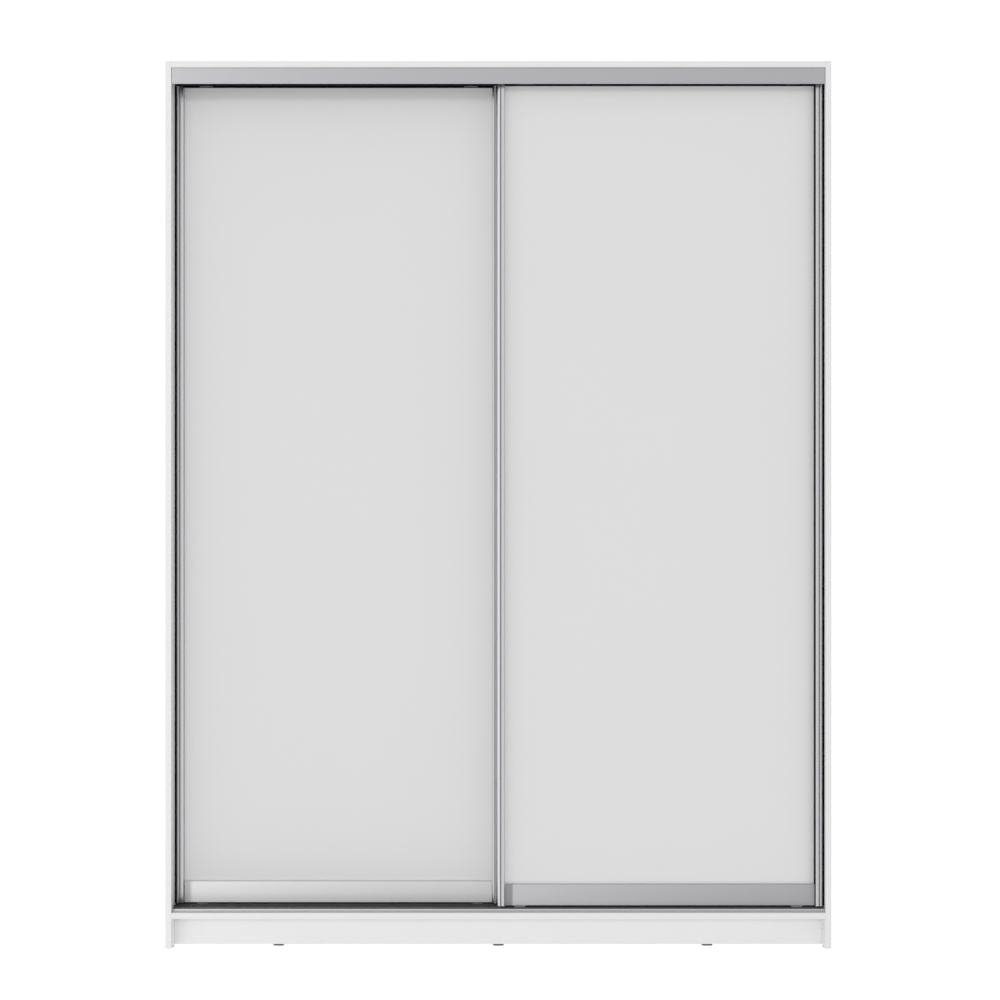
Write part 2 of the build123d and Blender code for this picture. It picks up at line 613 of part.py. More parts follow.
def door(name, nose_y, lips, roller_x, guide_x):
    """Every piece of one door. lips: inner lip X of its left and its right handle, with each arm's length."""
    line_y = nose_y + CENTRE_LINE
    (left_lip, left_arm), (right_lip, right_arm) = lips
    ends = ((left_lip, -1, left_arm, "handle_left"), (right_lip, 1, right_arm, "handle_right"))
    made = {}

    # screws through the handle web into the rails' screw ports, and the roller adjusting screws
    port_y = nose_y + PORT_V
    port_z = RAIL_WEB_Z - PORT_HALF
    frame_screws, adjust_screws, frame_holes, adjust_holes = [], [], [], []
    for lip, out, arm, piece in ends:
        seat = lip + out * (WEB_U + HANDLE_WALL)
        head = seat + out * FRAME_HEAD
        tip = lip - out * FRAME_SCREW_REACH
        for z in (port_z, TOP_PORT_Z):
            screw = bar_x(min(seat, head), max(seat, head), port_y, z, FRAME_HEAD_R)
            screw += bar_x(min(seat, tip), max(seat, tip), port_y, z, FRAME_SCREW_R)
            frame_screws.append(screw)
            frame_holes.append(bar_x(min(seat, tip), max(seat, tip), port_y, z, PORT_R))
        block_end = (roller_x[0] if out < 0 else roller_x[1]) + out * (HOUSING_HALF - 8.0)
        flush = lip + out * WEB_U
        adjust_screws.append(
            bar_x(min(block_end, flush), max(block_end, flush), line_y, ADJUST_Z, ADJUST_R)
        )
        hole_r = ADJUST_R + HOLE_PLAY
        adjust_holes.append(
            bar_x(min(block_end, seat), max(block_end, seat), line_y, ADJUST_Z, hole_r)
        )
    made["frame_screws"] = group(frame_screws)
    made["adjusting_screws"] = group(adjust_screws)

    # handles
    for lip, out, arm, piece in ends:
        section = handle_section(arm)
        if out < 0:
            section = mirror(section, Plane.YZ)
        solid = Pos(lip, nose_y, DOOR_Z0) * extrude(section, amount=HANDLE_Z1 - DOOR_Z0, dir=(0, 0, 1))
        made[piece] = drilled(solid, frame_holes + adjust_holes)

    # brush strips fill the rear arm's channel and bear on the wall or on the other door
    brushes = []
    for lip, out, arm, piece in ends:
        reach = BRUSH_OUT_WALL if arm == ARM_OUTER else BRUSH_OUT_MEETING
        b0 = lip + out * arm
        b1 = lip + out * (arm + reach)
        y1 = nose_y + HANDLE_DEEP
        brushes.append(block(min(b0, b1), max(b0, b1), y1 - LIP_FOLD - 1.0, y1 - 0.3, DOOR_Z0, HANDLE_Z1))
    made["brush_strips"] = group(brushes)

    # panel
    panel_y = nose_y + (SLOT_V0 + SLOT_V1) / 2
    made["panel"] = block(
        left_lip - PANEL_IN_SLOT, right_lip + PANEL_IN_SLOT,
        panel_y - PANEL_THICK / 2, panel_y + PANEL_THICK / 2, PANEL_Z0, PANEL_Z1,
    )

    # bottom rail
    v0 = nose_y + RAIL_V0
    v1 = nose_y + RAIL_V1
    w = RAIL_WALL
    rail = strip(v0, v0 + w, DOOR_Z0, RAIL_Z1) + strip(v1 - w, v1, DOOR_Z0, RAIL_Z1)
    rail += strip(v0 - RAIL_BEAD_OUT, v0 + w, DOOR_Z0, DOOR_Z0 + RAIL_BEAD)
    rail += strip(v0, v1, RAIL_WEB_Z, RAIL_WEB_Z + w)
    rail += strip(v0, nose_y + SLOT_V0, RAIL_Z1 - w, RAIL_Z1)
    rail += strip(nose_y + SLOT_V1, v1, RAIL_Z1 - w, RAIL_Z1)
    rail += strip(port_y - PORT_HALF, v1 - w, port_z - PORT_HALF, RAIL_WEB_Z)
    rail -= Pos(port_y, port_z) * Circle(PORT_R)
    rail_x0 = left_lip + RAIL_END_GAP
    rail_x1 = right_lip - RAIL_END_GAP
    made["bottom_rail"] = along_x(rail, rail_x0, rail_x1)

    # top rail: a cap over the panel edge with a flange and a screw port behind it
    rear_face = nose_y + SLOT_V1
    top_rail = strip(panel_y - PANEL_THICK / 2, v1, TOP_RAIL_Z0, TOP_RAIL_Z1)
    top_rail += strip(rear_face, rear_face + w, TOP_FLANGE_Z0, TOP_RAIL_Z1)
    top_rail += strip(rear_face, v1, TOP_PORT_Z - PORT_HALF, TOP_PORT_Z + PORT_HALF)
    top_rail -= Pos(port_y, TOP_PORT_Z) * Circle(PORT_R)
    made["top_rail"] = along_x(top_rail, rail_x0, rail_x1)

    # roller housings, axles, guide brackets
    housings, axles, brackets = [], [], []
    for x in roller_x:
        cheeks = []
        for sign in (-1, 1):
            c0 = line_y + sign * CHEEK_IN
            c1 = line_y + sign * CHEEK_OUT
            outline = Polyline(
                (x - SKIRT_LOW_HALF, SKIRT_Z0), (x + SKIRT_LOW_HALF, SKIRT_Z0),
                (x + SKIRT_TOP_HALF, DOOR_Z0), (x + HOUSING_HALF, DOOR_Z0 + CHEEK_STEP),
                (x + HOUSING_HALF, CHEEK_TOP_Z), (x - HOUSING_HALF, CHEEK_TOP_Z),
                (x - HOUSING_HALF, DOOR_Z0 + CHEEK_STEP), (x - SKIRT_TOP_HALF, DOOR_Z0),
                close=True,
            )
            face = make_face(Plane.XZ * outline)
            lump = extrude(face, amount=CHEEK_OUT - CHEEK_IN)
            y_now = lump.bounding_box().min.Y
            cheeks.append(Pos(0, min(c0, c1) - y_now, 0) * lump)
        bridge = block(
            x - HOUSING_HALF, x + HOUSING_HALF, line_y - BRIDGE_FRONT, line_y + BRIDGE_BACK,
            BRIDGE_Z0, RAIL_WEB_Z - 1.0,
        )
        low_bridge = block(
            x - HOUSING_HALF, x + HOUSING_HALF, line_y - BRIDGE_FRONT, line_y + CHEEK_OUT,
            BRIDGE_Z0, LOW_BRIDGE_Z1,
        )
        body = cheeks[0] + cheeks[1] + bridge + low_bridge
        end = CHEEK_OUT + HOLE_PLAY + RIVET_THICK
        body -= bar_y(x, line_y - end, line_y + end, WHEEL_Z, AXLE_R + HOLE_PLAY / 2)
        housings.append(drilled(body, adjust_holes))
        pin = bar_y(x, line_y - end, line_y + end, WHEEL_Z, AXLE_R)
        pin += bar_y(x, line_y - end, line_y - CHEEK_OUT - HOLE_PLAY, WHEEL_Z, RIVET_R)
        pin += bar_y(x, line_y + CHEEK_OUT + HOLE_PLAY, line_y + end, WHEEL_Z, RIVET_R)
        axles.append(pin)
    for x in guide_x:
        base = block(
            x - GUIDE_BASE_HALF_X, x + GUIDE_BASE_HALF_X, line_y - GUIDE_BASE_HALF_Y,
            line_y + GUIDE_BASE_HALF_Y, TOP_RAIL_Z1, TOP_RAIL_Z1 + 2.0,
        )
        base += bar_z(x, line_y, TOP_RAIL_Z1, GUIDE_Z0 - 1.5, GUIDE_POST_R)
        base -= bar_z(x, line_y, TOP_RAIL_Z1, GUIDE_Z0, AXLE_R + HOLE_PLAY / 2)
        brackets.append(base)
        nut_z0 = GUIDE_Z0 + GUIDE_THICK + 0.5
        pin = bar_z(x, line_y, TOP_RAIL_Z1 + HOLE_PLAY, nut_z0 + 2.0, AXLE_R)
        pin += bar_z(x, line_y, nut_z0, nut_z0 + 2.0, GUIDE_NUT_R)
        axles.append(pin)
    made["roller_housings"] = group(housings)
    made["guide_brackets"] = group(brackets)
    made["axles"] = group(axles)

    # wheels
    for x, side in zip(roller_x, ("left", "right")):
        wheel = bar_y(x, line_y - WHEEL_HALF, line_y + WHEEL_HALF, WHEEL_Z, WHEEL_R)
        wheel = chamfer(wheel.edges(), WHEEL_CHAMFER)
        for sign in (-1, 1):
            y0 = line_y + sign * (WHEEL_HALF - DISH_DEEP)
            y1 = line_y + sign * WHEEL_HALF
            ring = bar_y(x, y0, y1, WHEEL_Z, DISH_OUTER_R) - bar_y(x, y0, y1, WHEEL_Z, DISH_INNER_R)
            wheel -= ring
        wheel -= bar_y(x, line_y - WHEEL_HALF, line_y + WHEEL_HALF, WHEEL_Z, BORE_R)
        made["roller_" + side] = wheel
    for x, side in zip(guide_x, ("left", "right")):
        wheel = bar_z(x, line_y, GUIDE_Z0, GUIDE_Z0 + GUIDE_THICK, GUIDE_R)
        wheel = chamfer(wheel.edges(), WHEEL_CHAMFER)
        wheel -= bar_z(x, line_y, GUIDE_Z0, GUIDE_Z0 + GUIDE_THICK, BORE_R)
        made["guide_" + side] = wheel
    for piece, shape in made.items():
        nodes[name + "_" + piece] = shape


door(
    "left_door", REAR_DOOR_NOSE,
    ((-OUTER_LIP_X, ARM_OUTER), (-MEETING_LIP_X, ARM_MEETING)),
    (-ROLLER_OUTER_X, -ROLLER_INNER_X), (-GUIDE_OUTER_X, -GUIDE_INNER_X),
)
door(
    "right_door", FRONT_DOOR_NOSE,
    ((MEETING_LIP_X, ARM_MEETING), (OUTER_LIP_X, ARM_OUTER)),
    (ROLLER_INNER_X, ROLLER_OUTER_X), (GUIDE_INNER_X, GUIDE_OUTER_X),
)

os.makedirs("parts", exist_ok=True)
for name, shape in nodes.items():
    export_step(shape, "parts/" + name + ".step")
    box = shape.bounding_box()
    count = len(shape.solids())
    low = (round(box.min.X, 1), round(box.min.Y, 1), round(box.min.Z, 1))
    high = (round(box.max.X, 1), round(box.max.Y, 1), round(box.max.Z, 1))
    print(name, count, low, high)
print(len(nodes), "nodes")
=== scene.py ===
import json
import math
import bpy
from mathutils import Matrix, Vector


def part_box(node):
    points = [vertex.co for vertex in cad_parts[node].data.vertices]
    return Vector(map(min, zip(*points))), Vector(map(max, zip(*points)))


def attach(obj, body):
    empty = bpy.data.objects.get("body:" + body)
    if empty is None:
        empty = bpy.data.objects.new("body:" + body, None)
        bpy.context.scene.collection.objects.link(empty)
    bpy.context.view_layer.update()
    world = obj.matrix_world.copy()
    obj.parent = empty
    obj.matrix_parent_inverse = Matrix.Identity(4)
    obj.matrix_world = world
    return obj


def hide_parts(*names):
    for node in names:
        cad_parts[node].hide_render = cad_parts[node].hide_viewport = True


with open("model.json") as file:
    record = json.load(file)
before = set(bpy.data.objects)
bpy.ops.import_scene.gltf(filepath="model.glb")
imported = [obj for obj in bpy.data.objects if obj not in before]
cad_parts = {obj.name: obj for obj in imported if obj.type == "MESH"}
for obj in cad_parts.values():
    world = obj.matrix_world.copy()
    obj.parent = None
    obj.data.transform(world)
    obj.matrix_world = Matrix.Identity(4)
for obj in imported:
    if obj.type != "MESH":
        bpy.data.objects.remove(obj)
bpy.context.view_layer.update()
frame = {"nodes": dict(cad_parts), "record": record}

MM = 0.001

# how far the roughness of each finish swings about its middle
SMEAR_SWING = 0.14
DRAWN_SWING = 0.12
MOULD_SWING = 0.2


# ------------------------------------------------------------------ shared shader groups
def new_group(name, inputs, outputs):
    """An empty shader group with named sockets, and its input and output nodes."""
    tree = bpy.data.node_groups.new(name, "ShaderNodeTree")
    for label, kind, value in inputs:
        socket = tree.interface.new_socket(name=label, in_out="INPUT", socket_type="NodeSocket" + kind)
        if value is not None:
            socket.default_value = value
    for label, kind in outputs:
        tree.interface.new_socket(name=label, in_out="OUTPUT", socket_type="NodeSocket" + kind)
    return tree, tree.nodes.new("NodeGroupInput"), tree.nodes.new("NodeGroupOutput")


def node(tree, kind, links=None, **settings):
    """Adds a node, sets its properties and its input values, and links what is given as a socket."""
    made = tree.nodes.new("ShaderNode" + kind)
    for key, value in settings.items():
        setattr(made, key, value)
    for key, value in (links or {}).items():
        socket = made.inputs[key]
        if isinstance(value, bpy.types.NodeSocket):
            tree.links.new(value, socket)
        else:
            socket.default_value = value
    return made


def math_node(tree, operation, a, b=0.0, clamp=False):
    return node(tree, "Math", {0: a, 1: b}, operation=operation, use_clamp=clamp).outputs[0]


def build_board_skin():
    """Melamine foil: a faint cloudy tone, a fine pearl texture and an uneven gloss."""
    tree, start, end = new_group(
        "board_skin",
        [("Vector", "Vector", None), ("Color", "Color", (0.8, 0.8, 0.8, 1)), ("Tone", "Float", 0.02),
         ("Roughness", "Float", 0.4), ("Pearl Scale", "Float", 900.0)],
        [("Color", "Color"), ("Roughness", "Float"), ("Height", "Float")],
    )
    point = start.outputs["Vector"]
    cloud = node(tree, "TexNoise", {"Vector": point, "Scale": 2.3, "Detail": 3.0, "Roughness": 0.5})
    pearl = node(tree, "TexNoise", {"Vector": point, "Scale": start.outputs["Pearl Scale"], "Detail": 2.0})
    smear = node(tree, "TexNoise", {"Vector": point, "Scale": 9.0, "Detail": 4.0, "Roughness": 0.6})
    swing = math_node(tree, "SUBTRACT", cloud.outputs["Fac"], 0.5)
    swing = math_node(tree, "MULTIPLY", swing, start.outputs["Tone"])
    tone = math_node(tree, "ADD", swing, 1.0)
    color = node(tree, "VectorMath", {0: start.outputs["Color"], "Scale": tone}, operation="SCALE")
    tree.links.new(color.outputs[0], end.inputs["Color"])
    rough = math_node(tree, "SUBTRACT", smear.outputs["Fac"], 0.5)
    rough = math_node(tree, "MULTIPLY", rough, SMEAR_SWING)
    tree.links.new(math_node(tree, "ADD", rough, start.outputs["Roughness"]), end.inputs["Roughness"])
    tree.links.new(pearl.outputs["Fac"], end.inputs["Height"])
    return tree


def build_drawn_metal():
    """Extruded and anodised aluminium: fine lines along the bar, given by a stretched vector."""
    tree, start, end = new_group(
        "drawn_metal",
        [("Vector", "Vector", None), ("Color", "Color", (0.7, 0.7, 0.7, 1)), ("Roughness", "Float", 0.35),
         ("Lines", "Float", 0.1)],
        [("Color", "Color"), ("Roughness", "Float"), ("Height", "Float")],
    )
    point = start.outputs["Vector"]
    lines = node(tree, "TexNoise", {"Vector": point, "Scale": 1.0, "Detail": 4.0, "Roughness": 0.65})
    broad = node(tree, "TexNoise", {"Vector": point, "Scale": 0.05, "Detail": 2.0})
    swing = math_node(tree, "SUBTRACT", lines.outputs["Fac"], 0.5)
    swing = math_node(tree, "MULTIPLY", swing, start.outputs["Lines"])
    tone = math_node(tree, "ADD", swing, 1.0)
    color = node(tree, "VectorMath", {0: start.outputs["Color"], "Scale": tone}, operation="SCALE")
    tree.links.new(color.outputs[0], end.inputs["Color"])
    rough = math_node(tree, "SUBTRACT", broad.outputs["Fac"], 0.5)
    rough = math_node(tree, "MULTIPLY", rough, DRAWN_SWING)
    tree.links.new(math_node(tree, "ADD", rough, start.outputs["Roughness"]), end.inputs["Roughness"])
    tree.links.new(lines.outputs["Fac"], end.inputs["Height"])
    return tree


def build_moulded():
    """Moulded plastic or plated metal: speckled tone, uneven gloss and a fine orange peel."""
    tree, start, end = new_group(
        "moulded_skin",
        [("Vector", "Vector", None), ("Color", "Color", (0.1, 0.1, 0.1, 1)), ("Roughness", "Float", 0.5),
         ("Scale", "Float", 600.0), ("Tone", "Float", 0.15)],
        [("Color", "Color"), ("Roughness", "Float"), ("Height", "Float")],
    )
    point = start.outputs["Vector"]
    grain = node(tree, "TexNoise", {"Vector": point, "Scale": start.outputs["Scale"], "Detail": 3.0})
    patch = node(tree, "TexNoise", {"Vector": point, "Scale": 40.0, "Detail": 3.0})
    swing = math_node(tree, "SUBTRACT", grain.outputs["Fac"], 0.5)
    swing = math_node(tree, "MULTIPLY", swing, start.outputs["Tone"])
    tone = math_node(tree, "ADD", swing, 1.0)
    color = node(tree, "VectorMath", {0: start.outputs["Color"], "Scale": tone}, operation="SCALE")
    tree.links.new(color.outputs[0], end.inputs["Color"])
    rough = math_node(tree, "SUBTRACT", patch.outputs["Fac"], 0.5)
    rough = math_node(tree, "MULTIPLY", rough, MOULD_SWING)
    tree.links.new(math_node(tree, "ADD", rough, start.outputs["Roughness"]), end.inputs["Roughness"])
    tree.links.new(grain.outputs["Fac"], end.inputs["Height"])
    return tree


def build_plane_seam():
    """A thin line where one coordinate crosses a plane: the joint of an edge band."""
    tree, start, end = new_group(
        "plane_seam",
        [("Coordinate", "Float", 0.0), ("Plane", "Float", 0.0), ("Half Width", "Float", 0.0001)],
        [("Mask", "Float")],
    )
    off = math_node(tree, "SUBTRACT", start.outputs["Coordinate"], start.outputs["Plane"])
    off = math_node(tree, "ABSOLUTE", off)
    tree.links.new(
        math_node(tree, "LESS_THAN", off, start.outputs["Half Width"]), end.inputs["Mask"]
    )
    return tree


SEAM_HALF = 0.00012
SEAM_SHADE = (0.62, 0.61, 0.59)
board_skin = build_board_skin()
drawn_metal = build_drawn_metal()
moulded_skin = build_moulded()
plane_seam = build_plane_seam()


def start_material(name):
    """A material with its tree, its Principled shader and the object coordinates."""
    material = bpy.data.materials.new(name)
    material.use_nodes = True
    tree = material.node_tree
    shader = tree.nodes["Principled BSDF"]
    place = tree.nodes.new("ShaderNodeTexCoord").outputs["Object"]
    return material, tree, shader, place


def use_group(tree, group, **values):
    made = tree.nodes.new("ShaderNodeGroup")
    made.node_tree = group
    for key, value in values.items():
        socket = made.inputs[key.replace("_", " ")]
        if isinstance(value, bpy.types.NodeSocket):
            tree.links.new(value, socket)
        else:
            socket.default_value = value
    return made


def bump(tree, shader, height, strength, distance):
    made = node(tree, "Bump", {"Height": height, "Strength": strength, "Distance": distance})
    tree.links.new(made.outputs["Normal"], shader.inputs["Normal"])


def board_material(name, tone, roughness, pearl, band_planes=(), coat=0.0):
    """Laminated board; band_planes are (axis, place) of edge band joints."""
    material, tree, shader, place = start_material(name)
    skin = use_group(tree, board_skin, Vector=place, Color=(*tone, 1), Tone=0.02, Roughness=roughness,
                     Pearl_Scale=pearl)
    color = skin.outputs["Color"]
    axes = node(tree, "SeparateXYZ", {0: place}).outputs
    for axis, plane in band_planes:
        seam = use_group(tree, plane_seam, Coordinate=axes["XYZ".index(axis)], Plane=plane,
                         Half_Width=SEAM_HALF)
        mix = node(tree, "Mix", data_type="RGBA")
        tree.links.new(seam.outputs["Mask"], mix.inputs["Factor"])
        tree.links.new(color, mix.inputs["A"])
        seam_tone = [level * shade for level, shade in zip(tone, SEAM_SHADE)]
        mix.inputs["B"].default_value = (*seam_tone, 1)
        color = mix.outputs["Result"]
    tree.links.new(color, shader.inputs["Base Color"])
    tree.links.new(skin.outputs["Roughness"], shader.inputs["Roughness"])
    bump(tree, shader, skin.outputs["Height"], 0.12, 0.0002)
    shader.inputs["Coat Weight"].default_value = coat
    return material


def metal_material(name, tone, roughness, stretch, lines=0.08, metallic=1.0):
    """Anodised aluminium; stretch is the vector scale that draws its lines along the bar."""
    material, tree, shader, place = start_material(name)
    long = node(tree, "Mapping", {"Vector": place, "Scale": stretch})
    skin = use_group(tree, drawn_metal, Vector=long.outputs["Vector"], Color=(*tone, 1),
                     Roughness=roughness, Lines=lines)
    tree.links.new(skin.outputs["Color"], shader.inputs["Base Color"])
    tree.links.new(skin.outputs["Roughness"], shader.inputs["Roughness"])
    shader.inputs["Metallic"].default_value = metallic
    bump(tree, shader, skin.outputs["Height"], 0.1, 0.00005)
    return material


def moulded_material(name, tone, roughness, scale=600.0, metallic=0.0, strength=0.2, tone_swing=0.12,
                     specular=0.5):
    material, tree, shader, place = start_material(name)
    skin = use_group(tree, moulded_skin, Vector=place, Color=(*tone, 1), Roughness=roughness, Scale=scale,
                     Tone=tone_swing)
    tree.links.new(skin.outputs["Color"], shader.inputs["Base Color"])
    tree.links.new(skin.outputs["Roughness"], shader.inputs["Roughness"])
    shader.inputs["Metallic"].default_value = metallic
    shader.inputs["Specular IOR Level"].default_value = specular
    bump(tree, shader, skin.outputs["Height"], strength, 0.0001)
    return material


def track_painted_shade_material(name, tone, channel_shade, roughness, lip_y, crest_z):
    """The bottom track: its aluminium tone on its front lip, with painted shade: near-black in its channels
    and partly darkened on the crests of its ribs.
    """
    material, tree, shader, place = start_material(name)
    long = node(tree, "Mapping", {"Vector": place, "Scale": ALONG_X})
    skin = use_group(tree, drawn_metal, Vector=long.outputs["Vector"], Color=(*tone, 1),
                     Roughness=roughness, Lines=0.08)
    axes = node(tree, "SeparateXYZ", {0: place}).outputs
    lip = math_node(tree, "LESS_THAN", axes["Y"], lip_y)
    crest = math_node(tree, "GREATER_THAN", axes["Z"], crest_z)
    crest = math_node(tree, "MULTIPLY", crest, CREST_UNSHADED_SHARE)
    bright = math_node(tree, "MAXIMUM", lip, crest)
    # painted shade: the channels take the near-black colour, the rib crests a mix of it and the aluminium
    mix = node(tree, "Mix", data_type="RGBA")
    tree.links.new(bright, mix.inputs["Factor"])
    mix.inputs["A"].default_value = (*channel_shade, 1)
    tree.links.new(skin.outputs["Color"], mix.inputs["B"])
    tree.links.new(mix.outputs["Result"], shader.inputs["Base Color"])
    tree.links.new(skin.outputs["Roughness"], shader.inputs["Roughness"])
    shader.inputs["Metallic"].default_value = SATIN
    shader.inputs["Specular IOR Level"].default_value = 0.1
    bump(tree, shader, skin.outputs["Height"], 0.1, 0.00005)
    return material


ALONG_X = (3.0, 2500.0, 2500.0)
ALONG_Z = (2500.0, 2500.0, 3.0)
SATIN = 0.2
# share of the aluminium tone on the rib crests; the rest is painted shade
CREST_UNSHADED_SHARE = 0.6
CREST_DEEP = 0.0008
FRONT_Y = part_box("side_panel_left")[0].y
BAND_THICK = 0.0010
TRACK_LIP = 0.0025
track_low, track_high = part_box("bottom_track")

edge_band = (("Y", FRONT_Y + BAND_THICK),)
white_board = board_material("white_board", (0.80, 0.80, 0.80), 0.42, 900.0, edge_band)
door_board = board_material("door_board", (0.80, 0.80, 0.80), 0.34, 1100.0)
white_back = board_material("white_back", (0.76, 0.76, 0.75), 0.55, 700.0)
fascia_metal = metal_material("fascia_aluminium", (0.44, 0.435, 0.455), 0.45, ALONG_X, 0.08, SATIN)
# painted light and shade: one rail aluminium in two tones, darker on the front door's bottom rail and
# lighter on the rear door's
front_rail_painted_shade_metal = metal_material("front_rail_aluminium_painted_shade", (0.35, 0.345, 0.36), 0.45, ALONG_X, 0.08, SATIN)
rear_rail_painted_light_metal = metal_material("rear_rail_aluminium_painted_light", (0.68, 0.68, 0.68), 0.45, ALONG_X, 0.08, SATIN)
handle_metal = metal_material("handle_aluminium", (0.70, 0.695, 0.71), 0.30, ALONG_Z)
# painted shade: near-black aluminium for the outer handles' rear walls, where shade falls in their grip
# recesses
recess_painted_shade_metal = metal_material("recess_aluminium_painted_shade", (0.03, 0.03, 0.032), 0.5, ALONG_Z)
# painted shade: near-black aluminium for the top track and the doors' top rails, standing in for the shade
# in the cavity under the fascia
dark_painted_shade_metal = metal_material("dark_aluminium", (0.03, 0.03, 0.032), 0.5, ALONG_X)
# the bottom track's aluminium, with painted shade in its channels and on its rib crests
track_metal_painted_shade = track_painted_shade_material("track_aluminium_painted_shade", (0.60, 0.595, 0.61), (0.012, 0.011, 0.010), 0.4,
                             track_low.y + TRACK_LIP, track_high.z - CREST_DEEP)
chrome = moulded_material("chrome_plate", (0.80, 0.81, 0.83), 0.10, 300.0, 1.0, 0.02, 0.03)
zinc = moulded_material("zinc_plate", (0.62, 0.63, 0.64), 0.32, 900.0, 1.0, 0.1, 0.1)
housing = moulded_material("housing_steel", (0.22, 0.21, 0.20), 0.45, 500.0, 0.2, 0.1, 0.1)
# painted light: the housing steel made lighter for the front door's roller housings
front_housing_painted_light = moulded_material("front_housing_steel_painted_light", (0.42, 0.415, 0.425), 0.45, 500.0, 0.2, 0.1, 0.1)
black_plastic = moulded_material("black_plastic", (0.03, 0.03, 0.03), 0.5, 800.0)
white_plastic = moulded_material("white_plastic", (0.82, 0.82, 0.81), 0.35, 800.0, 0.0, 0.1, 0.03)
nylon = moulded_material("wheel_nylon", (0.42, 0.42, 0.43), 0.45, 700.0)
# painted light and shade: one pile in two tones, pale at the doors' meeting edges where light falls,
# near-black at the outer edges where shade falls
painted_light_brush = moulded_material("pale_brush_pile_painted_light", (0.42, 0.42, 0.43), 0.9, 1800.0, 0.0, 1.0, 0.6)
painted_shade_brush = moulded_material("brush_pile_painted_shade", (0.015, 0.015, 0.016), 0.9, 1800.0, 0.0, 1.0, 0.6,
                         specular=0.05)
rubber = moulded_material("gasket_rubber", (0.012, 0.012, 0.013), 0.7, 900.0, specular=0.1)
grey_rubber = moulded_material("groove_rubber", (0.17, 0.17, 0.175), 0.6, 900.0, specular=0.2)
pale_rubber = moulded_material("pale_gasket", (0.50, 0.50, 0.50), 0.6, 900.0)

SLOT_LOOK = {
    "white_laminate": white_board,
    "door_laminate": door_board,
    "white_hardboard": white_back,
    "satin_aluminium": fascia_metal,
    "dark_aluminium": dark_painted_shade_metal,
    "chromed_rod": chrome,
    "zinc_steel": zinc,
    "grey_housing": housing,
    "black_plastic": black_plastic,
    "white_plastic": white_plastic,
    "wheel_plastic": nylon,
    "grey_brush": painted_shade_brush,
}
NODE_LOOK = {
    "bottom_track": track_metal_painted_shade,
    "left_door_bottom_rail": rear_rail_painted_light_metal,
    "left_door_top_rail": dark_painted_shade_metal,
    "right_door_top_rail": dark_painted_shade_metal,
    "right_door_bottom_rail": front_rail_painted_shade_metal,
    "right_door_roller_housings": front_housing_painted_light,
}
slot_of = {s["node"]: s["material_slot"] for s in frame["record"]["subparts"]}
for name, piece in frame["nodes"].items():
    look = NODE_LOOK.get(name) or SLOT_LOOK[slot_of[name]]
    for place in piece.material_slots:
        place.material = look
    if not piece.material_slots:
        piece.data.materials.append(look)


# ------------------------------------------------------------------ modelling helpers
def clear_selection():
    if bpy.context.object and bpy.context.object.mode != "OBJECT":
        bpy.ops.object.mode_set(mode="OBJECT")
    bpy.ops.object.select_all(action="DESELECT")


def finish_piece(obj, name, look, body, replaces=()):
    obj.name = name
    obj.data.name = name
    obj.data.materials.clear()
    obj.data.materials.append(look)
    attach(obj, body)
    if replaces:
        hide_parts(*replaces)
    return obj


def apply_all(obj):
    bpy.context.view_layer.objects.active = obj
    for modifier in list(obj.modifiers):
        bpy.ops.object.modifier_apply(modifier=modifier.name)


def trace_strip(points, z0, z1, thick, bevel, smooth_angle=40.0):
    """A wall of an extrusion: one vertex drawn along its section, then drawn up and given its thickness."""
    clear_selection()
    first = points[0]
    bpy.ops.mesh.primitive_plane_add(size=0.001, location=(first[0], first[1], z0))
    obj = bpy.context.object
    bpy.ops.object.transform_apply(location=True, rotation=True, scale=True)
    bpy.ops.object.mode_set(mode="EDIT")
    bpy.ops.mesh.select_mode(type="VERT")
    bpy.ops.mesh.select_all(action="SELECT")
    bpy.ops.mesh.merge(type="CENTER")
    for a, b in zip(points, points[1:]):
        step = (b[0] - a[0], b[1] - a[1], 0.0)
        bpy.ops.mesh.extrude_vertices_move(TRANSFORM_OT_translate={"value": step})
    bpy.ops.mesh.select_all(action="SELECT")
    bpy.ops.mesh.extrude_edges_move(TRANSFORM_OT_translate={"value": (0.0, 0.0, z1 - z0)})
    bpy.ops.mesh.select_all(action="SELECT")
    bpy.ops.mesh.normals_make_consistent(inside=False)
    bpy.ops.object.mode_set(mode="OBJECT")
    wall = obj.modifiers.new("wall", "SOLIDIFY")
    wall.thickness = thick
    wall.offset = 0.0
    wall.use_even_offset = True
    apply_all(obj)
    if bevel:
        edge = obj.modifiers.new("edge", "BEVEL")
        edge.width = bevel
        edge.segments = 3
        edge.limit_method = "ANGLE"
        edge.angle_limit = math.radians(30.0)
        apply_all(obj)
    clear_selection()
    obj.select_set(True)
    bpy.context.view_layer.objects.active = obj
    bpy.ops.object.mode_set(mode="EDIT")
    bpy.ops.mesh.select_all(action="SELECT")
    bpy.ops.mesh.normals_make_consistent(inside=False)
    bpy.ops.object.mode_set(mode="OBJECT")
    bpy.ops.object.shade_smooth_by_angle(angle=math.radians(smooth_angle))
    return obj


def join(objects):
    clear_selection()
    for obj in objects:
        obj.select_set(True)
    bpy.context.view_layer.objects.active = objects[0]
    bpy.ops.object.join()
    return bpy.context.object


def cube(low, high, bevel=0.0, segments=3):
    """A box between two corners with its place in its mesh, its edges rounded by a bevel."""
    clear_selection()
    middle = [(a + b) / 2 for a, b in zip(low, high)]
    size = [b - a for a, b in zip(low, high)]
    bpy.ops.mesh.primitive_cube_add(size=1.0, location=middle, scale=size)
    obj = bpy.context.object
    bpy.ops.object.transform_apply(location=True, rotation=True, scale=True)
    if bevel:
        edge = obj.modifiers.new("edge", "BEVEL")
        edge.width = bevel
        edge.segments = segments
        apply_all(obj)
    return obj


